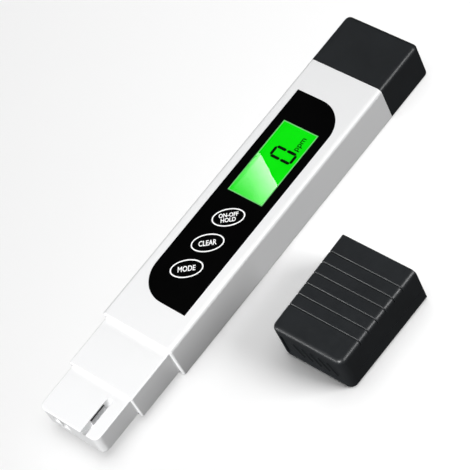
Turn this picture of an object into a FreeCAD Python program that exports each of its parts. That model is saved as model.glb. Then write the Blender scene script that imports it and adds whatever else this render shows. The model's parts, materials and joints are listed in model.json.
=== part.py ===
import FreeCAD, Part

import math
import os

from FreeCAD import Vector

os.makedirs("parts", exist_ok=True)

# Pen-style digital water tester, millimetres.
# The tester lies on its back: +X across, +Y towards the battery end, +Z out of the display.
# The origin is the middle of the main housing's flat back.

# Main housing
BODY_WIDTH = 27.6
BODY_DEPTH = 13.9
BODY_LENGTH = 102.0
BODY_LOW = -BODY_LENGTH / 2
BODY_HIGH = BODY_LENGTH / 2
FRONT_ROUND = 1.5
BACK_ROUND = 0.8
END_ROUND = 0.6
BACK_WALL = 1.6
FRONT_WALL = 1.5
CAVITY_HALF_WIDTH = 12.05
END_WALL = 1.8
SOCKET_GAP = 0.05
RAIL_WIDTH = 2.1
RAIL_HEIGHT = 1.4
CAVITY_FRONT = BODY_DEPTH - FRONT_WALL

# Graphic overlay and display window
OVERLAY_HALF_WIDTH = 9.96
OVERLAY_LOW = -39.5
OVERLAY_HIGH = 39.9
OVERLAY_CORNER = 10.2
OVERLAY_THICK = 0.3
OVERLAY_GAP = 0.06
WINDOW_HALF_WIDTH = 6.85
WINDOW_LOW = 1.0
WINDOW_HIGH = 29.0
PANE_GAP = 0.05
PANE_FLANGE = 1.5
PANE_THICK = 0.48
PANE_SINK = 0.02
PANE_BED_GAP = 0.05
PANE_LIFT = 0.2
HOLE_MARGIN = 1.75

# Keys
KEY_NAMES = ("power", "clear", "mode")
KEY_FIRST_Y = -6.75
KEY_PITCH = 10.0
KEY_TILT = 36.5
KEY_LONG = 5.45
KEY_SHORT = 3.4
KEY_GAP = 0.15
KEY_FLANGE = 0.4
KEY_FLANGE_THICK = 0.5
KEY_NECK_INSET = 0.3
KEY_TRAVEL = 0.3

# Board and tactile switches
BOARD_HALF_WIDTH = 10.8
BOARD_LOW = -44.0
BOARD_HIGH = 45.5
BOARD_BOTTOM = 7.2
BOARD_THICK = 1.0
BOARD_TOP = BOARD_BOTTOM + BOARD_THICK
SWITCH_SIZE = 5.2
SWITCH_HEIGHT = 2.0
STEM_RADIUS = 1.3
STEM_GAP = 0.15
STEM_TOP = 11.6
STEM_REST_GAP = 0.1
SWITCH_CHAMFER = 0.3

# Display stack, from the board up
GLASS_LEFT = -8.2
FRONT_GLASS_RIGHT = 9.2
REAR_GLASS_RIGHT = 7.2
GLASS_LOW = -0.2
GLASS_HIGH = 31.5
GLASS_THICK = 0.8
POLARISER_THICK = 0.2
FRONT_GLASS_TOP = 12.3
GUIDE_BOTTOM = 8.35
LAYER_INSET = 0.3
POLARISER_END_GAP = 1.0
FRAME_GAP = 0.1
FRAME_WALL = 1.3
FRAME_TOP = 12.35
STRIP_GAP = 0.2
LED_SIZE = (3.0, 1.3, 1.5)
LED_PLACES = (-4.3, 3.2)
LED_END_GAP = 0.2

# Probe head: a collar and a narrower tip
COLLAR_HALF_WIDTH = 12.75
COLLAR_BACK = 1.9
COLLAR_FRONT = 12.2
COLLAR_LOW = -68.3
TIP_HALF_WIDTH = 11.75
TIP_BACK = 3.5
TIP_FRONT = 11.1
TIP_LOW = -83.7
TIP_CORNER = 2.2
COLLAR_ROUND = 0.6
TIP_ROUND = 0.4
STUB_HALF_WIDTH = 10.8
STUB_BACK = 2.6
STUB_FRONT = 10.6
STUB_HIGH = -45.4
BARB_LOW = -47.4
BARB_HIGH = -46.2
BARB_GROWTH = 0.8
CHAMBER_HALF_WIDTH = 7.2
CHAMBER_BACK = 4.0
CHAMBER_FRONT = 9.4
CHAMBER_LOW = -66.0
SEAL_THICK = 1.5
SEAL_SIDE = 1.0
SEAL_BACK = 0.8
SEAL_FRONT = 1.4

# Electrode wells, electrodes and temperature sensor
WELL_LEFT = 5.2
WELL_WIDTH = 2.2
WELL_DEPTH = 2.9
WELL_END = -70.8
ELECTRODE_THICK = 0.45
ELECTRODE_LOW = -79.4
ELECTRODE_HIGH = -73.3
ELECTRODE_FRONT = 10.75
TAIL_HIGH = -62.0
TAIL_BACK = 6.5
TAIL_FRONT = 7.6
WELL_RAMP_LOW = -80.2
WELL_MOUTH_DEPTH = 0.75
NOTCH_LEFT = -4.0
NOTCH_RIGHT = -0.9
NOTCH_BACK = 5.6
NOTCH_FRONT = 9.6
NOTCH_DEPTH = 3.0
NOTCH_ROUND = 0.5
DRAIN_LEFT = -6.9
DRAIN_RIGHT = -4.6
DRAIN_DEPTH = 0.5
SENSOR_X = -2.45
SENSOR_Z = 7.4
SENSOR_RADIUS = 1.0
SENSOR_REACH = 1.3
SENSOR_LENGTH = 4.0
LEAD_RADIUS = 0.42
LEAD_BEND = 0.45
LEAD_LIFT = 0.02
LEAD_END = BOARD_LOW + 1.6
STUB_MIDDLE = -50.5
SENSOR_LEAD_RADIUS = 0.3
SENSOR_BORE_GAP = 0.3

# Battery end
BATTERY_CAP_GAP = 0.1
BATTERY_CAP_HIGH = 69.9
BATTERY_CAP_WALL = 1.2
BATTERY_CAP_END = 1.6
BATTERY_CAP_CORNER = 1.9
BATTERY_CAP_TRAY_GAP = 0.4
TRAY_HALF_WIDTH = 12.25
TRAY_BACK = 1.9
TRAY_FRONT = 12.0
TRAY_HIGH = 67.3
TRAY_ROUND = 0.8
TRAY_LOW_GAP = 0.05
CARRIER_LOW = 43.6
CARRIER_HALF_WIDTH = 11.85
CARRIER_GAP = 0.15
CELL_RADIUS = 5.8
CELL_THICK = 5.4
CELL_RIM = 1.0
CELL_STEP = 0.35
CELL_ROUND = 0.25
CELL_X = 5.87
CELL_Y = 61.2
POCKET_RADIUS = 5.87
POCKET_BACK = 4.2
CONTACT_THICK = 0.25
POCKET_FRONT = POCKET_BACK + 2 * CONTACT_THICK + CELL_THICK
CONTACT_WIDTH = 3.0
CONTACT_OVERLAP = 2.5
CONTACT_LEG_REACH = 2.0

# Loose protective cap, lying beside the tester
CAP_X = 48.5
CAP_CLOSED_Y = -30.1
CAP_LENGTH = 34.6
CAP_END_WIDTH = 26.2
CAP_MOUTH_WIDTH = 27.2
CAP_END_DEPTH = 14.5
CAP_MOUTH_DEPTH = 14.8
CAP_END_WALL = 1.7
CAP_STEP = 17.0
CAP_GRIP_FIRST = 8.7
CAP_GRIP_PITCH = 3.92
CAP_GRIPS = 6
CAP_GRIP_DEPTH = 0.28
CAP_GRIP_REACH = 1.9
CAP_CORNER = 2.2
CAP_ROUND = 1.5
CAP_COLLAR_GAP = 0.1
CAP_TIP_GAP = 0.2
CAP_LINE_Z = 5.2
CAP_LINE_WIDTH = 0.22
CAP_LINE_DEPTH = 0.15
CAP_RECESS_DEPTH = 0.6
CAP_RECESS_HALF_WIDTH = 10.8
CAP_RECESS_LOW = 1.6
CAP_RECESS_HIGH = 11.4
CAP_RIBS = 5
CAP_RIB_PITCH = 3.1
CAP_RIB_WIDTH = 0.8
CAP_RIB_LEAN = 1.3
CAP_RIB_LOW = 4.0
CAP_RIB_HIGH = 9.0
CAP_RIB_SINK = 0.15

# How far a cutting solid reaches past the face that it opens, and the length taken as nothing
PAST = 1.0
TINY = 0.01


def block(x0, x1, y0, y1, z0, z1):
    """Box between two corners."""
    return Part.makeBox(x1 - x0, y1 - y0, z1 - z0, Vector(x0, y0, z0))


def prism(points, z0, z1):
    """Straight-sided outline in plan, raised from z0 to z1."""
    corners = [Vector(x, y, z0) for x, y in points]
    wire = Part.makePolygon(corners + corners[:1])
    return Part.Face(wire).extrude(Vector(0, 0, z1 - z0))


def edges_along(shape, axis, keep=None):
    """Straight edges parallel to an axis (0, 1 or 2) whose middle passes the keep test."""
    found = []
    for edge in shape.Edges:
        ends = [vertex.Point for vertex in edge.Vertexes]
        if len(ends) != 2:
            continue
        run = ends[1] - ends[0]
        if abs(abs(run[axis]) - run.Length) > TINY:
            continue
        if keep is None or keep(edge.CenterOfMass):
            found.append(edge)
    return found


def edges_at(shape, y):
    """Edges lying wholly in the plane at this y."""
    return [edge for edge in shape.Edges
            if abs(edge.BoundBox.YMin - y) < TINY and abs(edge.BoundBox.YMax - y) < TINY]


def round_long_edges(shape):
    """Round a body block's lengthwise edges, the front pair more than the back pair."""
    shape = shape.makeFillet(BACK_ROUND, edges_along(shape, 1, lambda middle: middle.z < TINY))
    return shape.makeFillet(FRONT_ROUND,
                            edges_along(shape, 1, lambda middle: middle.z > BODY_DEPTH - TINY))


def oval(long_half, short_half, y, z0, z1):
    """Tilted oval plug centred on the tester's middle line."""
    curve = Part.Ellipse(Vector(0, 0, 0), long_half, short_half)
    face = Part.Face(Part.Wire(curve.toShape()))
    face.rotate(Vector(0, 0, 0), Vector(0, 0, 1), KEY_TILT)
    face.translate(Vector(0, y, z0))
    return face.extrude(Vector(0, 0, z1 - z0))


def overlay_outline(grow, z0, z1):
    """Overlay plan: two opposite corners square, the other two well rounded."""
    half = OVERLAY_HALF_WIDTH + grow
    plate = block(-half, half, OVERLAY_LOW - grow, OVERLAY_HIGH + grow, z0, z1)
    corners = edges_along(plate, 2, lambda middle: middle.x * middle.y > 0)
    return plate.makeFillet(OVERLAY_CORNER + grow, corners)


def lead(points, radius):
    """Round insulated wire: straight runs joined by tangent arcs."""
    corners = [Vector(*point) for point in points]
    edges = []
    start = corners[0]
    for before, corner, after in zip(corners, corners[1:], corners[2:]):
        inward = (corner - before) / (corner - before).Length
        outward = (after - corner) / (after - corner).Length
        reach = LEAD_BEND * min((corner - before).Length, (after - corner).Length)
        half_turn = inward.getAngle(outward) / 2
        bend_radius = reach / math.tan(half_turn)
        to_centre = (outward - inward) / (outward - inward).Length
        middle = corner + to_centre * (bend_radius / math.cos(half_turn) - bend_radius)
        entry = corner - inward * reach
        leave = corner + outward * reach
        edges.append(Part.LineSegment(start, entry).toShape())
        edges.append(Part.Arc(entry, middle, leave).toShape())
        start = leave
    edges.append(Part.LineSegment(start, corners[-1]).toShape())
    section = Part.Wire(Part.makeCircle(radius, corners[0], corners[1] - corners[0]))
    return Part.Wire(edges).makePipeShell([section], True, False)


def opposite_face(shape):
    """Half turn about the tip's own lengthwise middle line."""
    turned = shape.copy()
    turned.rotate(Vector(0, 0, (TIP_BACK + TIP_FRONT) / 2), Vector(0, 1, 0), 180)
    return turned


def key_y(index):
    return KEY_FIRST_Y - KEY_PITCH * index


def make_housing():
    half = BODY_WIDTH / 2
    shell = block(-half, half, BODY_LOW, BODY_HIGH, 0, BODY_DEPTH)
    shell = round_long_edges(shell)
    shell = shell.makeFillet(END_ROUND, edges_at(shell, BODY_LOW))
    cavity = block(-CAVITY_HALF_WIDTH, CAVITY_HALF_WIDTH, BODY_LOW + END_WALL, BODY_HIGH + PAST,
                   BACK_WALL, CAVITY_FRONT)
    socket = block(-STUB_HALF_WIDTH - SOCKET_GAP, STUB_HALF_WIDTH + SOCKET_GAP,
                   BODY_LOW - PAST, BODY_LOW + END_WALL + PAST,
                   STUB_BACK - SOCKET_GAP, STUB_FRONT + SOCKET_GAP)
    recess = overlay_outline(OVERLAY_GAP, BODY_DEPTH - OVERLAY_THICK, BODY_DEPTH + PAST)
    window = block(-WINDOW_HALF_WIDTH - HOLE_MARGIN, WINDOW_HALF_WIDTH + HOLE_MARGIN,
                   WINDOW_LOW - HOLE_MARGIN, WINDOW_HIGH + HOLE_MARGIN,
                   CAVITY_FRONT - PAST, BODY_DEPTH)
    shell = shell.cut(cavity).cut(socket).cut(recess).cut(window)
    for index in range(len(KEY_NAMES)):
        shell = shell.cut(oval(KEY_LONG + KEY_GAP, KEY_SHORT + KEY_GAP, key_y(index),
                               CAVITY_FRONT - PAST, BODY_DEPTH))
    for side in (-1, 1):
        inner = side * (CAVITY_HALF_WIDTH - RAIL_WIDTH)
        outer = side * (CAVITY_HALF_WIDTH + TINY)
        rail = block(min(inner, outer), max(inner, outer), BOARD_LOW + 1, CARRIER_LOW - 1,
                     BOARD_BOTTOM - RAIL_HEIGHT, BOARD_BOTTOM)
        shell = shell.fuse(rail)
    return shell.removeSplitter()


def make_overlay():
    film = overlay_outline(0, BODY_DEPTH - OVERLAY_THICK, BODY_DEPTH)
    film = film.cut(block(-WINDOW_HALF_WIDTH, WINDOW_HALF_WIDTH, WINDOW_LOW, WINDOW_HIGH,
                          BODY_DEPTH - PAST, BODY_DEPTH + PAST))
    for index in range(len(KEY_NAMES)):
        film = film.cut(oval(KEY_LONG + KEY_GAP, KEY_SHORT + KEY_GAP, key_y(index),
                             BODY_DEPTH - PAST, BODY_DEPTH + PAST))
    return film


def make_display_window():
    """Clear pane filling the overlay's opening, on a wider flange behind the overlay."""
    half = WINDOW_HALF_WIDTH - PANE_GAP
    face_front = BODY_DEPTH - PANE_SINK
    face = block(-half, half, WINDOW_LOW + PANE_GAP, WINDOW_HIGH - PANE_GAP,
                 face_front - PANE_THICK, face_front)
    wide = WINDOW_HALF_WIDTH + PANE_FLANGE
    flange = block(-wide, wide, WINDOW_LOW - PANE_FLANGE, WINDOW_HIGH + PANE_FLANGE,
                   CAVITY_FRONT + PANE_LIFT, BODY_DEPTH - OVERLAY_THICK - PANE_BED_GAP)
    return face.fuse(flange).removeSplitter()


def make_key(index):
    """Pad, plunger and switch stem of one key; they move together."""
    y = key_y(index)
    pad = oval(KEY_LONG, KEY_SHORT, y, BODY_DEPTH - OVERLAY_THICK, BODY_DEPTH)
    neck = oval(KEY_LONG - KEY_NECK_INSET, KEY_SHORT - KEY_NECK_INSET, y,
                STEM_TOP, BODY_DEPTH - OVERLAY_THICK)
    flange = oval(KEY_LONG + KEY_FLANGE, KEY_SHORT + KEY_FLANGE, y, STEM_TOP,
                  STEM_TOP + KEY_FLANGE_THICK)
    plunger = neck.fuse(flange).removeSplitter()
    stem_bottom = BOARD_TOP + SWITCH_HEIGHT / 2 + KEY_TRAVEL + STEM_REST_GAP
    stem = Part.makeCylinder(STEM_RADIUS, STEM_TOP - stem_bottom, Vector(0, y, stem_bottom))
    return pad, plunger, stem


def make_switch_base(index):
    y = key_y(index)
    half = SWITCH_SIZE / 2
    base = block(-half, half, y - half, y + half, BOARD_TOP, BOARD_TOP + SWITCH_HEIGHT)
    base = base.makeChamfer(SWITCH_CHAMFER, edges_along(base, 2))
    bore = Part.makeCylinder(STEM_RADIUS + STEM_GAP, SWITCH_HEIGHT,
                             Vector(0, y, BOARD_TOP + SWITCH_HEIGHT / 2))
    return base.cut(bore)


def display_layer(right, top, thick):
    return block(GLASS_LEFT, right, GLASS_LOW, GLASS_HIGH, top - thick, top)


def make_display_stack():
    """Front polariser, front glass, rear glass, rear polariser and light guide, front to back."""
    left = GLASS_LEFT + LAYER_INSET
    right = REAR_GLASS_RIGHT - LAYER_INSET
    low = GLASS_LOW + POLARISER_END_GAP
    high = GLASS_HIGH - POLARISER_END_GAP
    rear_glass_top = FRONT_GLASS_TOP - GLASS_THICK
    rear_polariser_top = rear_glass_top - GLASS_THICK
    guide_top = rear_polariser_top - POLARISER_THICK
    guide_high = GLASS_HIGH - LED_SIZE[1] - 2 * LED_END_GAP
    return {
        "display_front_polariser": block(left, REAR_GLASS_RIGHT, low, high,
                                         FRONT_GLASS_TOP, FRONT_GLASS_TOP + POLARISER_THICK),
        "display_front_glass": display_layer(FRONT_GLASS_RIGHT, FRONT_GLASS_TOP, GLASS_THICK),
        "display_rear_glass": display_layer(REAR_GLASS_RIGHT, rear_glass_top, GLASS_THICK),
        "display_rear_polariser": block(left, right, low, high, guide_top, rear_polariser_top),
        "light_guide": block(left, right, GLASS_LOW + LAYER_INSET, guide_high, GUIDE_BOTTOM, guide_top),
    }


def make_display_frame():
    left = GLASS_LEFT - FRAME_GAP
    right = FRONT_GLASS_RIGHT + FRAME_GAP
    low = GLASS_LOW - FRAME_GAP
    high = GLASS_HIGH + FRAME_GAP
    ring = block(left - FRAME_WALL, right + FRAME_WALL, low - FRAME_WALL, high + FRAME_WALL,
                 BOARD_TOP, FRAME_TOP)
    return ring.cut(block(left, right, low, high, BOARD_TOP - PAST, FRAME_TOP + PAST))


def make_connector_strip():
    """Springy strip that joins the front glass's ledge to the board."""
    return block(REAR_GLASS_RIGHT + STRIP_GAP, FRONT_GLASS_RIGHT - STRIP_GAP,
                 GLASS_LOW + POLARISER_END_GAP, GLASS_HIGH - POLARISER_END_GAP,
                 BOARD_TOP, FRONT_GLASS_TOP - GLASS_THICK)


def make_backlight_leds():
    width, length, height = LED_SIZE
    high = GLASS_HIGH - LED_END_GAP
    chips = [block(x - width / 2, x + width / 2, high - length, high, BOARD_TOP, BOARD_TOP + height)
             for x in LED_PLACES]
    return Part.makeCompound(chips)


def make_board():
    corner_radius = 1.0
    board = block(-BOARD_HALF_WIDTH, BOARD_HALF_WIDTH, BOARD_LOW, BOARD_HIGH, BOARD_BOTTOM, BOARD_TOP)
    return board.makeFillet(corner_radius, edges_along(board, 2, lambda middle: middle.y < 0))


def make_controller():
    """Resin drop over the bare chip, on the board's back."""
    drop_y = 12.0
    drop_radius = 5.5
    drop_height = 1.5
    sphere_radius = (drop_radius ** 2 + drop_height ** 2) / (2 * drop_height)
    ball = Part.makeSphere(sphere_radius, Vector(0, drop_y, BOARD_BOTTOM - drop_height + sphere_radius))
    reach = drop_radius + PAST
    below_board = block(-reach, reach, drop_y - reach, drop_y + reach,
                        BOARD_BOTTOM - drop_height - PAST, BOARD_BOTTOM)
    return ball.common(below_board)


def make_amplifier():
    """Eight-legged chip on the board's back."""
    middle_y = -20.0
    half_width, half_length = 2.5, 2.0
    body_gap, body_thick = 0.1, 1.5
    leg_pitch, leg_half, leg_inner, leg_outer, leg_thick = 1.27, 0.2, 1.9, 3.0, 0.35
    body = block(-half_width, half_width, middle_y - half_length, middle_y + half_length,
                 BOARD_BOTTOM - body_gap - body_thick, BOARD_BOTTOM - body_gap)
    for side in (-1, 1):
        for step in range(4):
            x = (step - 1.5) * leg_pitch
            inner = middle_y + side * leg_inner
            outer = middle_y + side * leg_outer
            body = body.fuse(block(x - leg_half, x + leg_half, min(inner, outer), max(inner, outer),
                                   BOARD_BOTTOM - leg_thick, BOARD_BOTTOM))
    return body.removeSplitter()


def make_chip_components():
    """Small resistors and capacitors in two rows on the board's back."""
    first_y, pitch, rows = -30.0, 3.2, 5
    half_length, half_width, thick = 0.8, 0.4, 0.6
    chips = []
    for column in (-6.4, 6.4):
        for row in range(rows):
            y = first_y + row * pitch
            chips.append(block(column - half_length, column + half_length, y - half_width, y + half_width,
                               BOARD_BOTTOM - thick, BOARD_BOTTOM))
    return Part.makeCompound(chips)


def make_crystal():
    """Clock crystal in a small metal can lying on the board's back."""
    radius, length = 1.5, 6.0
    return Part.makeCylinder(radius, length, Vector(7.3, 1.5, BOARD_BOTTOM - radius), Vector(0, 1, 0))


def make_well():
    """Electrode well: round-ended slot in the front face, rising to a shallow mouth at the tip's end."""
    radius = WELL_WIDTH / 2
    floor = TIP_FRONT - WELL_DEPTH
    mouth_floor = TIP_FRONT - WELL_MOUTH_DEPTH
    end_middle = WELL_END - radius
    side_view = [(end_middle, floor), (WELL_RAMP_LOW, floor), (TIP_LOW, mouth_floor),
                 (TIP_LOW - PAST, mouth_floor), (TIP_LOW - PAST, TIP_FRONT + PAST),
                 (end_middle, TIP_FRONT + PAST)]
    corners = [Vector(WELL_LEFT, y, z) for y, z in side_view]
    wire = Part.makePolygon(corners + corners[:1])
    slot = Part.Face(wire).extrude(Vector(WELL_WIDTH, 0, 0))
    end = Part.makeCylinder(radius, WELL_DEPTH + PAST, Vector(WELL_LEFT + radius, end_middle, floor))
    return slot.fuse(end)


def make_electrode():
    """Thin strip: a blade standing in the well and a tail running back inside the head."""
    blade = block(WELL_LEFT, WELL_LEFT + ELECTRODE_THICK, ELECTRODE_LOW, ELECTRODE_HIGH,
                  TAIL_BACK, ELECTRODE_FRONT)
    tail = block(WELL_LEFT, WELL_LEFT + ELECTRODE_THICK, ELECTRODE_LOW, TAIL_HIGH,
                 TAIL_BACK, TAIL_FRONT)
    return blade.fuse(tail).removeSplitter()


def make_sensor():
    """Glass bead with a round nose, set in the end notch."""
    nose = TIP_LOW + NOTCH_DEPTH - SENSOR_REACH + SENSOR_RADIUS
    back = nose + SENSOR_LENGTH
    rod = Part.makeCylinder(SENSOR_RADIUS, back - nose, Vector(SENSOR_X, nose, SENSOR_Z),
                            Vector(0, 1, 0))
    ball = Part.makeSphere(SENSOR_RADIUS, Vector(SENSOR_X, nose, SENSOR_Z))
    return rod.fuse(ball).removeSplitter()


def make_probe_head(inserts, sensor_back):
    collar = block(-COLLAR_HALF_WIDTH, COLLAR_HALF_WIDTH, COLLAR_LOW, BODY_LOW,
                   COLLAR_BACK, COLLAR_FRONT)
    collar = collar.makeFillet(COLLAR_ROUND, edges_along(collar, 1))
    collar = collar.makeFillet(COLLAR_ROUND * 0.8, edges_at(collar, COLLAR_LOW))
    tip = block(-TIP_HALF_WIDTH, TIP_HALF_WIDTH, TIP_LOW, COLLAR_LOW + 2, TIP_BACK, TIP_FRONT)
    tip = tip.makeFillet(TIP_CORNER, edges_along(tip, 2, lambda middle: middle.y < COLLAR_LOW))
    rims = [edge for edge in tip.Edges if edge.BoundBox.ZLength < TINY
            and edge.CenterOfMass.y < COLLAR_LOW + 1]
    tip = tip.makeFillet(TIP_ROUND, rims)
    tip = tip.cut(make_well()).cut(opposite_face(make_well()))
    stub = block(-STUB_HALF_WIDTH, STUB_HALF_WIDTH, BODY_LOW - PAST, STUB_HIGH, STUB_BACK, STUB_FRONT)
    barb = block(-STUB_HALF_WIDTH - BARB_GROWTH, STUB_HALF_WIDTH + BARB_GROWTH, BARB_LOW, BARB_HIGH,
                 STUB_BACK - BARB_GROWTH, STUB_FRONT + BARB_GROWTH)
    head = collar.fuse(tip).fuse(stub).fuse(barb).removeSplitter()
    chamber = block(-CHAMBER_HALF_WIDTH, CHAMBER_HALF_WIDTH, CHAMBER_LOW, STUB_HIGH + PAST,
                    CHAMBER_BACK, CHAMBER_FRONT)
    notch = block(NOTCH_LEFT, NOTCH_RIGHT, TIP_LOW - PAST, TIP_LOW + NOTCH_DEPTH,
                  NOTCH_BACK, NOTCH_FRONT)
    notch = notch.makeFillet(NOTCH_ROUND, edges_along(notch, 1))
    drain = block(DRAIN_LEFT, DRAIN_RIGHT, TIP_LOW - PAST, TIP_LOW + DRAIN_DEPTH,
                  NOTCH_BACK + 1, NOTCH_FRONT)
    bore = Part.makeCylinder(SENSOR_RADIUS + SENSOR_BORE_GAP, CHAMBER_LOW - sensor_back + PAST,
                             Vector(SENSOR_X, sensor_back, SENSOR_Z), Vector(0, 1, 0))
    head = head.cut(chamber).cut(notch).cut(drain).cut(bore)
    for insert in inserts:
        head = head.cut(insert)
    return head


def make_probe_seal():
    """Soft frame round the probe's stub, against the inside of the housing's end wall."""
    low = BODY_LOW + END_WALL
    outer = block(-STUB_HALF_WIDTH - SEAL_SIDE, STUB_HALF_WIDTH + SEAL_SIDE, low, low + SEAL_THICK,
                  STUB_BACK - SEAL_BACK, STUB_FRONT + SEAL_FRONT)
    outer = outer.makeFillet(0.8, edges_along(outer, 1))
    return outer.cut(block(-STUB_HALF_WIDTH, STUB_HALF_WIDTH, BODY_LOW, low + SEAL_THICK + PAST,
                           STUB_BACK, STUB_FRONT))


def make_electrode_leads():
    """Wires from the two electrode tails, through the stub, to the board's front."""
    strip_middle = WELL_LEFT + ELECTRODE_THICK / 2
    front_z = (TAIL_BACK + TAIL_FRONT) / 2
    back_z = TIP_BACK + TIP_FRONT - front_z
    top = BOARD_TOP + LEAD_RADIUS + LEAD_LIFT
    right = [(strip_middle, TAIL_HIGH, front_z), (strip_middle, -56.5, front_z),
             (4.0, STUB_MIDDLE, 8.5), (3.8, BOARD_LOW, top), (3.8, LEAD_END, top)]
    left = [(-strip_middle, TAIL_HIGH, back_z), (-strip_middle, -56.5, back_z),
            (-6.3, STUB_MIDDLE, 8.0), (-6.2, BOARD_LOW, top), (-6.2, LEAD_END, top)]
    return Part.makeCompound([lead(right, LEAD_RADIUS), lead(left, LEAD_RADIUS)])


def make_sensor_leads(back):
    """The sensor's two thin wires, side by side, to the board's front."""
    top = BOARD_TOP + SENSOR_LEAD_RADIUS + LEAD_LIFT
    wires = []
    for side in (-1, 1):
        x = SENSOR_X + side * 0.5
        spread = SENSOR_X + 1.2 + side * 1.1
        points = [(x, back, SENSOR_Z), (x, -58, SENSOR_Z), (spread, STUB_MIDDLE, 8.1),
                  (spread, BOARD_LOW, top), (spread, LEAD_END, top)]
        wires.append(lead(points, SENSOR_LEAD_RADIUS))
    return Part.makeCompound(wires)


def make_battery_cap():
    """Cap with rounded closed end, open where it slides over the cell tray."""
    half = BODY_WIDTH / 2
    low = BODY_HIGH + BATTERY_CAP_GAP
    cap = block(-half, half, low, BATTERY_CAP_HIGH, 0, BODY_DEPTH)
    cap = cap.makeFillet(BATTERY_CAP_CORNER, edges_along(cap, 2, lambda middle: middle.y > low + 1))
    cap = round_long_edges(cap)
    inner = half - BATTERY_CAP_WALL
    return cap.cut(block(-inner, inner, low - PAST, BATTERY_CAP_HIGH - BATTERY_CAP_END,
                         TRAY_BACK - BATTERY_CAP_TRAY_GAP, TRAY_FRONT + BATTERY_CAP_TRAY_GAP))


def contact_strip(x):
    """Flat strip under one cell, running back to a leg that meets the board."""
    half = CONTACT_WIDTH / 2
    top = POCKET_BACK + CONTACT_THICK
    low = CARRIER_LOW - CONTACT_LEG_REACH
    strip = block(x - half, x + half, low, CELL_Y + CONTACT_OVERLAP, POCKET_BACK, top)
    leg = block(x - half, x + half, low, low + CONTACT_THICK, POCKET_BACK, BOARD_BOTTOM)
    return strip.fuse(leg).removeSplitter()


def make_bridge_contact():
    """Plate across the fronts of both cells."""
    half = CELL_X + CONTACT_OVERLAP
    return block(-half, half, CELL_Y - CONTACT_OVERLAP, CELL_Y + CONTACT_OVERLAP,
                 POCKET_FRONT - CONTACT_THICK, POCKET_FRONT)


def make_cell_carrier(inserts):
    """Block that fills the housing's open end, with a tray that holds the two cells side by side."""
    body = block(-CARRIER_HALF_WIDTH, CARRIER_HALF_WIDTH, CARRIER_LOW, BODY_HIGH + PAST,
                 BACK_WALL + CARRIER_GAP, CAVITY_FRONT - CARRIER_GAP)
    tray = block(-TRAY_HALF_WIDTH, TRAY_HALF_WIDTH, BODY_HIGH + TRAY_LOW_GAP, TRAY_HIGH,
                 TRAY_BACK, TRAY_FRONT)
    tray = tray.makeFillet(TRAY_ROUND, edges_along(tray, 1))
    carrier = body.fuse(tray)
    for side in (-1, 1):
        pocket = Part.makeCylinder(POCKET_RADIUS, POCKET_FRONT - POCKET_BACK,
                                   Vector(side * CELL_X, CELL_Y, POCKET_BACK))
        carrier = carrier.cut(pocket)
    carrier = carrier.cut(block(-CELL_X - POCKET_RADIUS, CELL_X + POCKET_RADIUS,
                                CELL_Y, TRAY_HIGH + PAST, POCKET_BACK, POCKET_FRONT))
    board_slot = block(-BOARD_HALF_WIDTH, BOARD_HALF_WIDTH, CARRIER_LOW - PAST, BOARD_HIGH + 0.1,
                       BOARD_BOTTOM, BOARD_TOP)
    carrier = carrier.cut(board_slot)
    for insert in inserts:
        carrier = carrier.cut(insert)
    return carrier.removeSplitter()


def make_cell(side):
    """Button cell: a wide can with a slightly narrower terminal face, one cell each way up."""
    bottom = POCKET_BACK + CONTACT_THICK
    can_bottom = bottom if side > 0 else bottom + CELL_STEP
    can = Part.makeCylinder(CELL_RADIUS, CELL_THICK - CELL_STEP,
                            Vector(side * CELL_X, CELL_Y, can_bottom))
    can = can.makeFillet(CELL_ROUND, [edge for edge in can.Edges if edge.Closed])
    face = Part.makeCylinder(CELL_RADIUS - CELL_RIM, CELL_THICK, Vector(side * CELL_X, CELL_Y, bottom))
    return can.fuse(face).removeSplitter()


def cap_share(y):
    """How far along the protective cap y is, from 0 at its closed end to 1 at its mouth."""
    return y / CAP_LENGTH


def cap_half_width(y):
    return (CAP_END_WIDTH + (CAP_MOUTH_WIDTH - CAP_END_WIDTH) * cap_share(y)) / 2


def cap_depth(y):
    return CAP_END_DEPTH + (CAP_MOUTH_DEPTH - CAP_END_DEPTH) * cap_share(y)


def cap_section(y, inset):
    """Outline of the cap's front and sides at y, drawn in by inset, with rounded front corners."""
    half = cap_half_width(y) - inset
    front = cap_depth(y) - inset
    radius = CAP_ROUND - inset
    slant = radius * math.sqrt(0.5)
    left = Part.Arc(Vector(-half, y, front - radius),
                    Vector(-half + radius - slant, y, front - radius + slant),
                    Vector(-half + radius, y, front))
    right = Part.Arc(Vector(half - radius, y, front),
                     Vector(half - radius + slant, y, front - radius + slant),
                     Vector(half, y, front - radius))
    path = [Vector(-half, y, -PAST), left.StartPoint, left.EndPoint,
            right.StartPoint, right.EndPoint, Vector(half, y, -PAST)]
    edges = [Part.LineSegment(path[0], path[1]).toShape(), left.toShape(),
             Part.LineSegment(path[2], path[3]).toShape(), right.toShape(),
             Part.LineSegment(path[4], path[5]).toShape(), Part.LineSegment(path[5], path[0]).toShape()]
    return Part.Wire(edges)


def grip_cutter(y):
    """V-shaped ring that cuts one grip line across the cap's front and round its two edges."""
    half_width = CAP_GRIP_DEPTH + PAST / 4
    core = Part.makeLoft([cap_section(y - half_width, -PAST / 4), cap_section(y, CAP_GRIP_DEPTH),
                          cap_section(y + half_width, -PAST / 4)], True, True)
    reach = BODY_WIDTH / 2 + PAST
    slab = block(-reach, reach, y - half_width + TINY, y + half_width - TINY,
                 cap_depth(y) - CAP_GRIP_REACH, cap_depth(y) + PAST / 8)
    return slab.cut(core)


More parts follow.
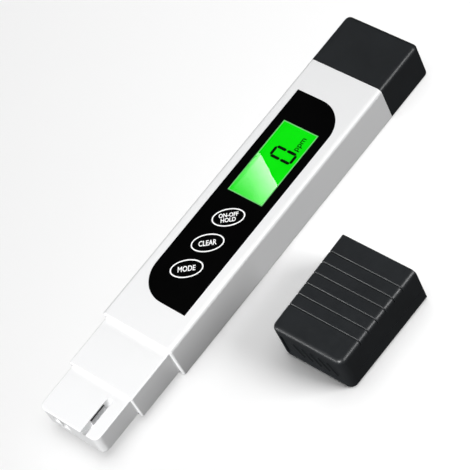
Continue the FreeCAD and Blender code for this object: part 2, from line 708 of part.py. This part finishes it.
def side_line_cutter(side):
    """Thin lengthwise line in one side of the cap, from near its closed end to its mouth."""
    outline = []
    for y, beyond in ((2 * CAP_CORNER, 0), (CAP_LENGTH + PAST, 0), (CAP_LENGTH + PAST, 1),
                      (2 * CAP_CORNER, 1)):
        reach = BODY_WIDTH / 2 + PAST if beyond else cap_half_width(y) - CAP_LINE_DEPTH
        outline.append((side * reach, y))
    return prism(outline, CAP_LINE_Z, CAP_LINE_Z + CAP_LINE_WIDTH)


def make_cap_body():
    """Tapered block, wider and deeper at its mouth, with rounded closed end and edges."""
    rings = []
    for y in (0, CAP_LENGTH):
        half = cap_half_width(y)
        corners = [Vector(-half, y, 0), Vector(half, y, 0),
                   Vector(half, y, cap_depth(y)), Vector(-half, y, cap_depth(y))]
        rings.append(Part.makePolygon(corners + corners[:1]))
    outer = Part.makeLoft(rings, True, True)
    outer = outer.makeFillet(CAP_CORNER, edges_along(outer, 2, lambda middle: middle.y < TINY))
    long_edges = [edge for edge in outer.Edges
                  if edge.BoundBox.YLength > CAP_LENGTH / 2 and edge.BoundBox.ZLength < 1]
    return outer.makeFillet(CAP_ROUND, long_edges)


def make_protective_cap():
    """Cap for the probe: hollow in two steps, with grip lines, side lines and a ribbed closed end."""
    collar_half = COLLAR_HALF_WIDTH + CAP_COLLAR_GAP
    tip_half = TIP_HALF_WIDTH + CAP_TIP_GAP
    mouth = block(-collar_half, collar_half, CAP_STEP, CAP_LENGTH + PAST,
                  COLLAR_BACK - CAP_COLLAR_GAP, COLLAR_FRONT + CAP_COLLAR_GAP)
    deep = block(-tip_half, tip_half, CAP_END_WALL, CAP_STEP + PAST,
                 TIP_BACK - CAP_TIP_GAP, TIP_FRONT + CAP_TIP_GAP)
    cap = make_cap_body().cut(mouth).cut(deep)
    for step in range(CAP_GRIPS):
        cap = cap.cut(grip_cutter(CAP_GRIP_FIRST + CAP_GRIP_PITCH * step))
    for side in (-1, 1):
        cap = cap.cut(side_line_cutter(side))
    cap = cap.cut(block(-CAP_RECESS_HALF_WIDTH, CAP_RECESS_HALF_WIDTH, -PAST, CAP_RECESS_DEPTH,
                        CAP_RECESS_LOW, CAP_RECESS_HIGH))
    for step in range(CAP_RIBS):
        cap = cap.fuse(make_end_rib((step - (CAP_RIBS - 1) / 2) * CAP_RIB_PITCH))
    cap = cap.removeSplitter()
    cap.translate(Vector(CAP_X, CAP_CLOSED_Y, 0))
    return cap


def make_end_rib(middle):
    """Slanted raised rib on the closed end, for finger grip."""
    outline = [(middle + CAP_RIB_LEAN, CAP_RIB_LOW), (middle + CAP_RIB_LEAN + CAP_RIB_WIDTH, CAP_RIB_LOW),
               (middle - CAP_RIB_LEAN + CAP_RIB_WIDTH, CAP_RIB_HIGH), (middle - CAP_RIB_LEAN, CAP_RIB_HIGH)]
    corners = [Vector(x, CAP_RIB_SINK, z) for x, z in outline]
    wire = Part.makePolygon(corners + corners[:1])
    return Part.Face(wire).extrude(Vector(0, CAP_RECESS_DEPTH, 0))


def build():
    front_electrode = make_electrode()
    back_electrode = opposite_face(front_electrode)
    sensor = make_sensor()
    negative = contact_strip(-CELL_X)
    positive = contact_strip(CELL_X)
    bridge = make_bridge_contact()
    nodes = {
        "housing": make_housing(),
        "front_overlay": make_overlay(),
        "display_window": make_display_window(),
        "display_frame": make_display_frame(),
        "connector_strip": make_connector_strip(),
        "backlight_leds": make_backlight_leds(),
        "main_board": make_board(),
        "controller_drop": make_controller(),
        "amplifier_chip": make_amplifier(),
        "chip_components": make_chip_components(),
        "clock_crystal": make_crystal(),
        "probe_head": make_probe_head([front_electrode, back_electrode, sensor],
                                      sensor.BoundBox.YMax),
        "probe_seal": make_probe_seal(),
        "electrode_front": front_electrode,
        "electrode_back": back_electrode,
        "temperature_sensor": sensor,
        "electrode_leads": make_electrode_leads(),
        "sensor_leads": make_sensor_leads(sensor.BoundBox.YMax),
        "cell_carrier": make_cell_carrier([negative, positive, bridge]),
        "cell_left": make_cell(-1),
        "cell_right": make_cell(1),
        "contact_negative": negative,
        "contact_positive": positive,
        "contact_bridge": bridge,
        "battery_cap": make_battery_cap(),
        "protective_cap": make_protective_cap(),
    }
    nodes.update(make_display_stack())
    for index, name in enumerate(KEY_NAMES):
        pad, plunger, stem = make_key(index)
        nodes["key_pad_" + name] = pad
        nodes["key_plunger_" + name] = plunger
        nodes["switch_stem_" + name] = stem
        nodes["switch_base_" + name] = make_switch_base(index)
    return nodes


for node_name, node_shape in build().items():
    if not node_shape.isValid():
        raise ValueError(node_name + " is not a valid solid")
    node_shape.exportStep("parts/" + node_name + ".step")
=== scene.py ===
import json
import math

import bpy
from mathutils import Matrix, Vector


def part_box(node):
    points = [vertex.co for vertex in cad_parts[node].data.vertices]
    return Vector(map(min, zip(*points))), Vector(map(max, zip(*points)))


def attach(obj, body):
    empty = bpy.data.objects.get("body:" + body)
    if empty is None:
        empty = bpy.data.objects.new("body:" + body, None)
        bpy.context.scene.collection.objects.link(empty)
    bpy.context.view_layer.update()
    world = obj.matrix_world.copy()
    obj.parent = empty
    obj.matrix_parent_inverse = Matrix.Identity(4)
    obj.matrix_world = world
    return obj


# A pen-style water tester on a white table, with its loose protective cap beside it.
# Everything is in metres in the CAD model's frame: +Y towards the battery cap, +Z out of the display.

MM = 0.001
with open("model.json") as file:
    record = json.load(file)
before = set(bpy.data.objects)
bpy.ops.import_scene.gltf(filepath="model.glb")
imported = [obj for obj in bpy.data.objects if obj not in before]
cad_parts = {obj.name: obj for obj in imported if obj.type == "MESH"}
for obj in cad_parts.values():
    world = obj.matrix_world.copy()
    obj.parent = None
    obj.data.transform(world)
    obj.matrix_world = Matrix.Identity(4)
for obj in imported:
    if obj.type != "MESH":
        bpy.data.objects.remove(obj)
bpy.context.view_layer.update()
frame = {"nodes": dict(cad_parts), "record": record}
nodes = frame["nodes"]

KEY_NAMES = ("power", "clear", "mode")
KEY_TILT = math.radians(36.5)
PRINT_THICK = 0.02 * MM
WINDOW_HALF = 6.8 * MM
WINDOW_LOW = 1.05 * MM
WINDOW_HIGH = 28.95 * MM


# ---------------------------------------------------------------- materials

class Shader:
    """A material with a Principled shader and a few helpers for wiring textures into it."""

    def __init__(self, name, color, roughness):
        self.material = bpy.data.materials.new(name)
        self.material.use_nodes = True
        self.tree = self.material.node_tree
        self.surface = self.tree.nodes["Principled BSDF"]
        self.set("Base Color", (*color, 1))
        self.set("Roughness", roughness)
        coordinates = self.tree.nodes.new("ShaderNodeTexCoord")
        self.place = coordinates.outputs["Object"]

    def set(self, socket, value):
        self.surface.inputs[socket].default_value = value

    def link(self, output, target):
        self.tree.links.new(output, target)

    def noise(self, size, detail=3.0, stretch=(1, 1, 1)):
        """Noise whose blotches are about size metres across."""
        mapping = self.tree.nodes.new("ShaderNodeMapping")
        mapping.inputs["Scale"].default_value = [part / size for part in stretch]
        texture = self.tree.nodes.new("ShaderNodeTexNoise")
        texture.inputs["Scale"].default_value = 1.0
        texture.inputs["Detail"].default_value = detail
        self.link(self.place, mapping.inputs["Vector"])
        self.link(mapping.outputs["Vector"], texture.inputs["Vector"])
        return texture.outputs["Fac"]

    def spread(self, factor, low, high, start=0.3, stop=0.7):
        """Factor mapped from start..stop to low..high."""
        node = self.tree.nodes.new("ShaderNodeMapRange")
        for name, value in zip(("From Min", "From Max", "To Min", "To Max"), (start, stop, low, high)):
            node.inputs[name].default_value = value
        self.link(factor, node.inputs["Value"])
        return node.outputs["Result"]

    def blend_colors(self, factor, first, second):
        node = self.tree.nodes.new("ShaderNodeMix")
        node.data_type = "RGBA"
        self.link(factor, node.inputs["Factor"])
        node.inputs[6].default_value = (*first, 1)
        node.inputs[7].default_value = (*second, 1)
        return node.outputs[2]

    def vary_color(self, size, first, second, detail=3.0):
        color = self.blend_colors(self.spread(self.noise(size, detail), 0, 1), first, second)
        self.link(color, self.surface.inputs["Base Color"])

    def vary_roughness(self, size, low, high):
        self.link(self.spread(self.noise(size), low, high), self.surface.inputs["Roughness"])

    def grain(self, size, depth, detail=2.0):
        """Fine relief: bumps about size across and depth deep."""
        bump = self.tree.nodes.new("ShaderNodeBump")
        bump.inputs["Strength"].default_value = 1.0
        bump.inputs["Distance"].default_value = depth
        self.link(self.noise(size, detail), bump.inputs["Height"])
        self.link(bump.outputs["Normal"], self.surface.inputs["Normal"])


def white_plastic():
    shader = Shader("white_plastic", (0.83, 0.83, 0.83), 0.34)
    shader.vary_color(60 * MM, (0.815, 0.82, 0.825), (0.84, 0.842, 0.845))
    shader.vary_roughness(1.5 * MM, 0.31, 0.37)
    shader.grain(0.5 * MM, 0.003 * MM)
    return shader.material


def black_plastic():
    shader = Shader("black_plastic", (0.015, 0.0155, 0.017), 0.38)
    shader.vary_color(14 * MM, (0.014, 0.0155, 0.017), (0.018, 0.020, 0.022))
    shader.vary_roughness(2 * MM, 0.33, 0.43)
    shader.grain(0.22 * MM, 0.008 * MM)
    return shader.material


def overlay_film():
    shader = Shader("overlay_film", (0.004, 0.004, 0.004), 0.5)
    shader.set("Specular IOR Level", 0.03)
    shader.vary_color(20 * MM, (0.0006, 0.0006, 0.0006), (0.0012, 0.0012, 0.0013))
    shader.vary_roughness(4 * MM, 0.5, 0.6)
    shader.grain(0.12 * MM, 0.004 * MM)
    return shader.material


def clear_acrylic():
    shader = Shader("clear_acrylic", (1, 1, 1), 0.0)
    shader.set("Transmission Weight", 1.0)
    shader.set("IOR", 1.49)
    shader.vary_color(12 * MM, (0.97, 0.99, 0.98), (1, 1, 1))
    return shader.material


def lit_display():
    """Green backlit display face whose glow varies a little at random."""
    shader = Shader("lit_display", (0.0, 0.004, 0.0), 0.4)
    shader.set("Specular IOR Level", 0.0)
    green = shader.blend_colors(shader.spread(shader.noise(9 * MM, 1.0), 0, 1),
                                (0.001, 0.85, 0.002), (0.002, 0.90, 0.004))
    shader.link(green, shader.surface.inputs["Emission Color"])
    shader.set("Emission Strength", 1.0)
    return shader.material


def segment_ink():
    shader = Shader("segment_ink", (0.001, 0.02, 0.001), 0.6)
    shader.vary_color(1.5 * MM, (0.001, 0.012, 0.001), (0.002, 0.025, 0.002))
    shader.set("Specular IOR Level", 0.0)
    return shader.material


def white_print():
    shader = Shader("white_print", (0.95, 0.95, 0.95), 0.5)
    shader.vary_color(0.8 * MM, (0.92, 0.93, 0.93), (1, 1, 1))
    shader.grain(0.1 * MM, 0.003 * MM)
    return shader.material


def border_ink():
    shader = Shader("border_ink", (0.15, 0.6, 0.16), 0.5)
    shader.vary_color(2 * MM, (0.12, 0.56, 0.13), (0.17, 0.64, 0.18))
    return shader.material


def plain_plastic(name, first, second, roughness=0.45):
    shader = Shader(name, first, roughness)
    shader.vary_color(6 * MM, first, second)
    shader.vary_roughness(4 * MM, roughness - 0.06, roughness + 0.06)
    shader.grain(0.3 * MM, 0.008 * MM)
    return shader.material


def metal(name, first, second, roughness):
    shader = Shader(name, first, roughness)
    shader.set("Metallic", 1.0)
    shader.vary_color(3 * MM, first, second)
    shader.vary_roughness(1.2 * MM, roughness - 0.08, roughness + 0.08)
    shader.grain(0.15 * MM, 0.003 * MM)
    return shader.material


def electrode_metal():
    """Brushed grey strip whose thin outer edge is painted near-black as shade, standing in for the
    shadowed gap beside the strip.
    """
    shader = Shader("electrode_metal", (0.3, 0.3, 0.3), 0.4)
    shader.set("Metallic", 0.3)
    brushed = shader.blend_colors(shader.spread(shader.noise(0.5 * MM, 2.0, (4, 1, 1)), 0, 1),
                                  (0.42, 0.42, 0.425), (0.62, 0.62, 0.63))
    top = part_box("electrode_front")[1].z
    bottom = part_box("electrode_back")[0].z
    middle = (top + bottom) / 2
    # Painted shade: a thin near-black band along the strip's outer edges stands in for the shadow in the
    # gap there.
    painted_shade_width = 0.1 * MM
    painted_shade_start = (top - bottom) / 2 - painted_shade_width
    split = shader.tree.nodes.new("ShaderNodeSeparateXYZ")
    shader.link(shader.place, split.inputs["Vector"])
    from_middle = shader.tree.nodes.new("ShaderNodeMath")
    from_middle.operation = "SUBTRACT"
    from_middle.inputs[1].default_value = middle
    shader.link(split.outputs["Z"], from_middle.inputs[0])
    reach = shader.tree.nodes.new("ShaderNodeMath")
    reach.operation = "ABSOLUTE"
    shader.link(from_middle.outputs["Value"], reach.inputs[0])
    painted_shade_mask = shader.tree.nodes.new("ShaderNodeMath")
    painted_shade_mask.operation = "GREATER_THAN"
    painted_shade_mask.inputs[1].default_value = painted_shade_start
    shader.link(reach.outputs["Value"], painted_shade_mask.inputs[0])
    # Painted shade where the mask is set, brushed metal everywhere else.
    color = shader.blend_colors(painted_shade_mask.outputs["Value"], (0, 0, 0), (0.006, 0.006, 0.006))
    shader.link(brushed, color.node.inputs[6])
    shader.link(color, shader.surface.inputs["Base Color"])
    shader.grain(0.15 * MM, 0.003 * MM)
    return shader.material


def assign_materials():
    looks = {
        "white_shell": white_plastic(),
        "black_shell": black_plastic(),
        "overlay_film": overlay_film(),
        "clear_window": clear_acrylic(),
        "display_glass": plain_plastic("display_glass", (0.35, 0.42, 0.36), (0.4, 0.46, 0.41), 0.1),
        "polariser_film": lit_display(),
        "backlight": plain_plastic("light_guide", (0.55, 0.85, 0.55), (0.6, 0.9, 0.6)),
        "frame_plastic": plain_plastic("frame_plastic", (0.68, 0.69, 0.68), (0.74, 0.75, 0.74)),
        "connector_rubber": plain_plastic("connector_rubber", (0.62, 0.22, 0.33), (0.7, 0.3, 0.4), 0.6),
        "seal_rubber": plain_plastic("seal_rubber", (0.03, 0.03, 0.03), (0.045, 0.045, 0.045), 0.6),
        "key_rubber": plain_plastic("key_rubber", (0.02, 0.02, 0.02), (0.03, 0.03, 0.03), 0.6),
        "switch_plastic": plain_plastic("switch_plastic", (0.03, 0.03, 0.03), (0.045, 0.045, 0.05)),
        "circuit_board": plain_plastic("circuit_board", (0.02, 0.16, 0.06), (0.03, 0.21, 0.08), 0.3),
        "chip_resin": plain_plastic("chip_resin", (0.012, 0.012, 0.012), (0.02, 0.02, 0.02), 0.35),
        "chip_ceramic": plain_plastic("chip_ceramic", (0.35, 0.28, 0.2), (0.45, 0.38, 0.28)),
        "bright_metal": metal("bright_metal", (0.62, 0.62, 0.6), (0.7, 0.7, 0.68), 0.22),
        "contact_metal": metal("contact_metal", (0.6, 0.58, 0.53), (0.68, 0.66, 0.6), 0.3),
        "electrode_metal": electrode_metal(),
        "sensor_glass": plain_plastic("sensor_glass", (0.1, 0.09, 0.08), (0.16, 0.14, 0.12), 0.15),
        "lead_sheath": plain_plastic("lead_sheath", (0.4, 0.03, 0.03), (0.5, 0.05, 0.04), 0.5),
    }
    for entry in frame["record"]["subparts"]:
        slots = nodes[entry["node"]].data.materials
        slots.clear()
        slots.append(looks[entry["material_slot"]])


# ---------------------------------------------------------------- geometry helpers

def mesh_object(name, points, faces, material):
    mesh = bpy.data.meshes.new(name)
    mesh.from_pydata(points, [], faces)
    mesh.update()
    piece = bpy.data.objects.new(name, mesh)
    bpy.context.scene.collection.objects.link(piece)
    if material:
        mesh.materials.append(material)
    return piece


def plate(name, outline, low, high, material):
    """Closed flat plate from an outline in plan."""
    count = len(outline)
    points = [(x, y, low) for x, y in outline] + [(x, y, high) for x, y in outline]
    faces = [tuple(reversed(range(count))), tuple(range(count, 2 * count))]
    for i in range(count):
        j = (i + 1) % count
        faces.append((i, j, count + j, count + i))
    return mesh_object(name, points, faces, material)


def oval_ring(name, centre, long_half, short_half, stroke, low, high, material):
    """Closed tilted oval band."""
    steps = 96
    points = []
    for height in (low, high):
        for inset in (-stroke / 2, stroke / 2):
            for step in range(steps):
                turn = 2 * math.pi * step / steps
                along = (long_half + inset) * math.cos(turn)
                across = (short_half + inset) * math.sin(turn)
                x = centre[0] + along * math.cos(KEY_TILT) - across * math.sin(KEY_TILT)
                y = centre[1] + along * math.sin(KEY_TILT) + across * math.cos(KEY_TILT)
                points.append((x, y, height))
    faces = []
    inner_low, outer_low, inner_high, outer_high = (steps * n for n in range(4))
    for i in range(steps):
        j = (i + 1) % steps
        faces.append((inner_high + i, outer_high + i, outer_high + j, inner_high + j))
        faces.append((inner_low + i, inner_low + j, outer_low + j, outer_low + i))
        faces.append((outer_low + i, outer_low + j, outer_high + j, outer_high + i))
        faces.append((inner_low + j, inner_low + i, inner_high + i, inner_high + j))
    return mesh_object(name, points, faces, material)


def lettering(name, words, size, length, weight, centre, turn, z, material):
    """Printed words as a thin closed mesh of the given length, centred and turned about +Z."""
    text = bpy.data.curves.new(name, "FONT")
    text.body = words
    text.align_x = "CENTER"
    text.align_y = "CENTER"
    text.size = size
    text.offset = weight
    text.extrude = PRINT_THICK / 2
    text.resolution_u = 4
    holder = bpy.data.objects.new(name + "_text", text)
    bpy.context.scene.collection.objects.link(holder)
    bpy.context.view_layer.update()
    mesh = bpy.data.meshes.new_from_object(holder)
    bpy.data.objects.remove(holder)
    low = Vector([min(v.co[axis] for v in mesh.vertices) for axis in range(3)])
    high = Vector([max(v.co[axis] for v in mesh.vertices) for axis in range(3)])
    middle = (low + high) / 2
    stretch = Matrix.Diagonal((length / (high.x - low.x), 1, 1, 1))
    move = Matrix.Translation((*centre, z)) @ Matrix.Rotation(turn, 4, "Z") @ stretch
    mesh.transform(move @ Matrix.Translation(-middle))
    mesh.materials.clear()
    mesh.materials.append(material)
    piece = bpy.data.objects.new(name, mesh)
    bpy.context.scene.collection.objects.link(piece)
    return piece


# ---------------------------------------------------------------- printed keys and display

def print_keys(ink):
    """White ring and function words on each key pad."""
    # Each row: a word and its printed length.
    words = {
        "power": (("ON-OFF", 6.1 * MM), ("HOLD", 4.7 * MM)),
        "clear": (("CLEAR", 5.6 * MM),),
        "mode": (("MODE", 5.5 * MM),),
    }
    up = Vector((-math.sin(KEY_TILT), math.cos(KEY_TILT)))
    row_pitch = 1.75 * MM
    for name in KEY_NAMES:
        low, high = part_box("key_pad_" + name)
        middle = ((low.x + high.x) / 2, (low.y + high.y) / 2)
        top = high.z
        pieces = [oval_ring("key_ring_" + name, middle, 5.0 * MM, 2.96 * MM, 0.42 * MM,
                            top, top + PRINT_THICK, ink)]
        rows = words[name]
        size = 2.6 * MM if len(rows) == 1 else 2.0 * MM
        for row, (word, length) in enumerate(rows):
            shift = ((len(rows) - 1) / 2 - row) * row_pitch
            centre = (middle[0] + up.x * shift, middle[1] + up.y * shift)
            pieces.append(lettering(f"key_legend_{name}_{row}", word, size, length, 0.055 * MM, centre,
                                    KEY_TILT, top + PRINT_THICK / 2, ink))
        for piece in pieces:
            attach(piece, "key_" + name)


def segment(name, start, stop, half, low, high, material):
    """One bar of a seven-segment figure, with pointed ends."""
    start, stop = Vector(start), Vector(stop)
    along = (stop - start).normalized()
    side = Vector((-along.y, along.x)) * half
    tip = along * half
    outline = [start, start + tip - side, stop - tip - side, stop, stop - tip + side, start + tip + side]
    return plate(name, [tuple(point) for point in outline], low, high, material)


def show_reading(ink):
    """The figure 0 and its unit on the display, read with the battery cap to the right."""
    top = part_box("display_front_polariser")[1].z
    low, high = top, top + PRINT_THICK
    # Figure: its top is towards -X and its right-hand side towards +Y.
    x_top, x_foot = -3.3 * MM, 4.4 * MM
    y_left, y_right = 17.2 * MM, 20.7 * MM
    x_waist = (x_top + x_foot) / 2
    half = 0.48 * MM
    gap = 0.07 * MM
    bars = {
        "top": ((x_top, y_left + gap), (x_top, y_right - gap)),
        "foot": ((x_foot, y_left + gap), (x_foot, y_right - gap)),
        "upper_left": ((x_top + gap, y_left), (x_waist - gap, y_left)),
        "lower_left": ((x_waist + gap, y_left), (x_foot - gap, y_left)),
        "upper_right": ((x_top + gap, y_right), (x_waist - gap, y_right)),
        "lower_right": ((x_waist + gap, y_right), (x_foot - gap, y_right)),
    }
    for name, (start, stop) in bars.items():
        piece = segment("digit_" + name, start, stop, half, low, high, ink)
        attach(piece, "tester")
    unit = lettering("unit_mark", "ppm", 2.7 * MM, 4.9 * MM, 0.04 * MM, (3.3 * MM, 24.3 * MM),
                     math.radians(90), top + PRINT_THICK / 2, ink)
    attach(unit, "tester")


def edge_window(ink):
    """Thin green line printed round the display window's rim."""
    stroke = 0.36 * MM
    pane_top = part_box("display_window")[1].z
    corners = [(WINDOW_HALF, WINDOW_LOW), (WINDOW_HALF, WINDOW_HIGH),
               (-WINDOW_HALF, WINDOW_HIGH), (-WINDOW_HALF, WINDOW_LOW)]
    outer = [Vector(corner) for corner in corners]
    middle = sum(outer, Vector((0, 0))) / len(outer)
    inner = [point + Vector((math.copysign(stroke, middle.x - point.x),
                             math.copysign(stroke, middle.y - point.y))) for point in outer]
    points = [(*point, height) for height in (pane_top, pane_top + PRINT_THICK)
              for point in outer + inner]
    sides = len(corners)
    inner_low, outer_high, inner_high = (sides * n for n in (1, 2, 3))
    faces = []
    for i in range(sides):
        j = (i + 1) % sides
        faces.append((outer_high + i, outer_high + j, inner_high + j, inner_high + i))
        faces.append((j, i, inner_low + i, inner_low + j))
        faces.append((i, j, outer_high + j, outer_high + i))
        faces.append((inner_low + j, inner_low + i, inner_high + i, inner_high + j))
    rim = mesh_object("window_rim", points, faces, ink)
    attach(rim, "tester")


# ---------------------------------------------------------------- table, lights and camera

def lay_table():
    """White table that neither shows in the black caps' gloss nor throws light back on the tester."""
    size = 4.0
    shader = Shader("table_paint", (0.9, 0.9, 0.9), 0.9)
    shader.vary_color(0.3, (0.9, 0.9, 0.9), (0.92, 0.92, 0.92))
    shader.set("Specular IOR Level", 0.0)
    table = mesh_object("table", [(-size, -size, 0), (size, -size, 0), (size, size, 0), (-size, size, 0)],
                        [(0, 1, 2, 3)], shader.material)
    table.visible_glossy = False
    table.visible_diffuse = False
    return table


def area_light(name, place, aim_x, side, power):
    """Square light of the given side, aimed at a spot on the table on the X axis."""
    light = bpy.data.lights.new(name, "AREA")
    light.shape = "SQUARE"
    light.size = side
    light.energy = power
    holder = bpy.data.objects.new(name, light)
    bpy.context.scene.collection.objects.link(holder)
    holder.location = place
    holder.rotation_euler = (Vector((aim_x, 0, 0)) - Vector(place)).to_track_quat("-Z", "Y").to_euler()
    return holder


def linked_to(label, pieces, state):
    """Collection that a light's receivers or shadow casters are read from."""
    group = bpy.data.collections.new(label)
    for piece in pieces:
        group.objects.link(piece)
    for member in group.collection_objects:
        member.light_linking.link_state = state
    return group


def light_scene(table):
    """Soft lights, some for the table alone and some for the tester and its cap alone."""
    world = bpy.data.worlds.new("studio")
    world.use_nodes = True
    background = world.node_tree.nodes["Background"]
    background.inputs["Color"].default_value = (1, 1, 1, 1)
    background.inputs["Strength"].default_value = 0.04
    bpy.context.scene.world = world
    # Each row: name, place, aim along X, side length and power.
    rows = (
        ("overhead", (-0.05, 0.2, 1.2), 0, 1.5, 10),
        ("soft_overhead", (0.1, 0.1, 1.2), 0, 1.5, 3.5),
        ("low_light", (0.72, 0.32, 0.38), 0, 0.45, 8.5),
        ("front_light", (0.2, -0.75, 0.72), 0, 0.4, 15.8),
        ("side_light", (0.45, 0.5, 0.15), 0, 0.25, 2.0),
        ("back_fill", (-0.6, 0.4, 0.15), 0, 0.4, 1.2),
        ("rim_light", (0.624, 0.224, 0.448), 0.02, 0.35, 3.6),
        ("end_rim_light", (-0.446, -0.626, 0.223), 0.03, 0.25, 2.0),
    )
    lights = {row[0]: area_light(*row) for row in rows}
    table_only = linked_to("table_only", [table], "INCLUDE")
    cap_only = linked_to("cap_only", [nodes["protective_cap"]], "INCLUDE")
    all_but_table_and_pane = linked_to("not_table_or_pane", [table, nodes["display_window"]], "EXCLUDE")
    for name in ("overhead", "soft_overhead", "low_light"):
        lights[name].light_linking.receiver_collection = table_only
    # Only the loose cap casts these two lights' shadows.
    for name in ("overhead", "low_light"):
        lights[name].light_linking.blocker_collection = cap_only
    for name in ("front_light", "side_light", "back_fill", "rim_light", "end_rim_light"):
        lights[name].light_linking.receiver_collection = all_but_table_and_pane
    # Shading without highlights, and highlights without shading.
    for name in ("side_light", "back_fill"):
        lights[name].visible_glossy = False
    for name in ("rim_light", "end_rim_light"):
        lights[name].visible_diffuse = False
    bpy.context.scene.view_settings.view_transform = "Standard"


def gloss_card():
    """Soft strip of light that shows only as a slanting reflection in the display window."""
    pane_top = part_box("display_window")[1].z
    eye = bpy.context.scene.camera.matrix_world.translation
    mirrored_eye = Vector((eye.x, eye.y, 2 * pane_top - eye.z))
    # How far away the card is, in distances from the eye to the pane
    reach = 1.7

    def above(x, y):
        """Where the light seen in the pane at this spot comes from."""
        spot = Vector((x * MM, y * MM, pane_top))
        return mirrored_eye + (spot - mirrored_eye) * reach

    corners = [above(-11, 18.6), above(11, 6.7), above(11, -12), above(-11, -6)]
    card = mesh_object("gloss_card", corners, [(0, 1, 2, 3)], None)
    uv = card.data.uv_layers.new(name="UVMap")
    for loop, place in zip(uv.data, ((0, 0), (1, 0), (1, 1), (0, 1))):
        loop.uv = place
    paint = bpy.data.materials.new("gloss_card")
    paint.use_nodes = True
    tree = paint.node_tree
    tree.nodes.clear()
    output = tree.nodes.new("ShaderNodeOutputMaterial")
    glow = tree.nodes.new("ShaderNodeEmission")
    coordinates = tree.nodes.new("ShaderNodeTexCoord")
    split = tree.nodes.new("ShaderNodeSeparateXYZ")
    fade = tree.nodes.new("ShaderNodeMapRange")
    for name, value in zip(("From Min", "From Max", "To Min", "To Max"), (0.0, 0.8, 1.0, 0.0)):
        fade.inputs[name].default_value = value
    tree.links.new(coordinates.outputs["UV"], split.inputs["Vector"])
    tree.links.new(split.outputs["Y"], fade.inputs["Value"])
    curve = tree.nodes.new("ShaderNodeMath")
    curve.operation = "POWER"
    curve.inputs[1].default_value = 1.8
    strength = tree.nodes.new("ShaderNodeMath")
    strength.operation = "MULTIPLY"
    strength.inputs[1].default_value = 7.0
    tree.links.new(fade.outputs["Result"], curve.inputs[0])
    tree.links.new(curve.outputs["Value"], strength.inputs[0])
    tree.links.new(strength.outputs["Value"], glow.inputs["Strength"])
    tree.links.new(glow.outputs["Emission"], output.inputs["Surface"])
    card.data.materials.append(paint)
    card.visible_camera = False
    card.visible_diffuse = False
    card.visible_shadow = False


def add_camera():
    azimuth, elevation, roll = (math.radians(angle) for angle in (63.405, 51.440, -29.529))
    back = Vector((math.sin(azimuth) * math.cos(elevation), -math.cos(azimuth) * math.cos(elevation),
                   math.sin(elevation)))
    right = Vector((0, 0, 1)).cross(back).normalized()
    up = back.cross(right)
    turned_right = math.cos(roll) * right + math.sin(roll) * up
    turned_up = -math.sin(roll) * right + math.cos(roll) * up
    target = Vector((-3.944, -5.74, 0.17)) * MM
    distance = 682.67 * MM
    data = bpy.data.cameras.new("camera")
    data.lens = 175.3
    data.sensor_width = 36
    camera = bpy.data.objects.new("camera", data)
    bpy.context.scene.collection.objects.link(camera)
    axes = Matrix((turned_right, turned_up, back)).transposed().to_4x4()
    camera.matrix_world = Matrix.Translation(target + back * distance) @ axes
    bpy.context.scene.camera = camera


assign_materials()
print_keys(white_print())
show_reading(segment_ink())
edge_window(border_ink())
light_scene(lay_table())
add_camera()
gloss_card()

bpy.context.view_layer.update()
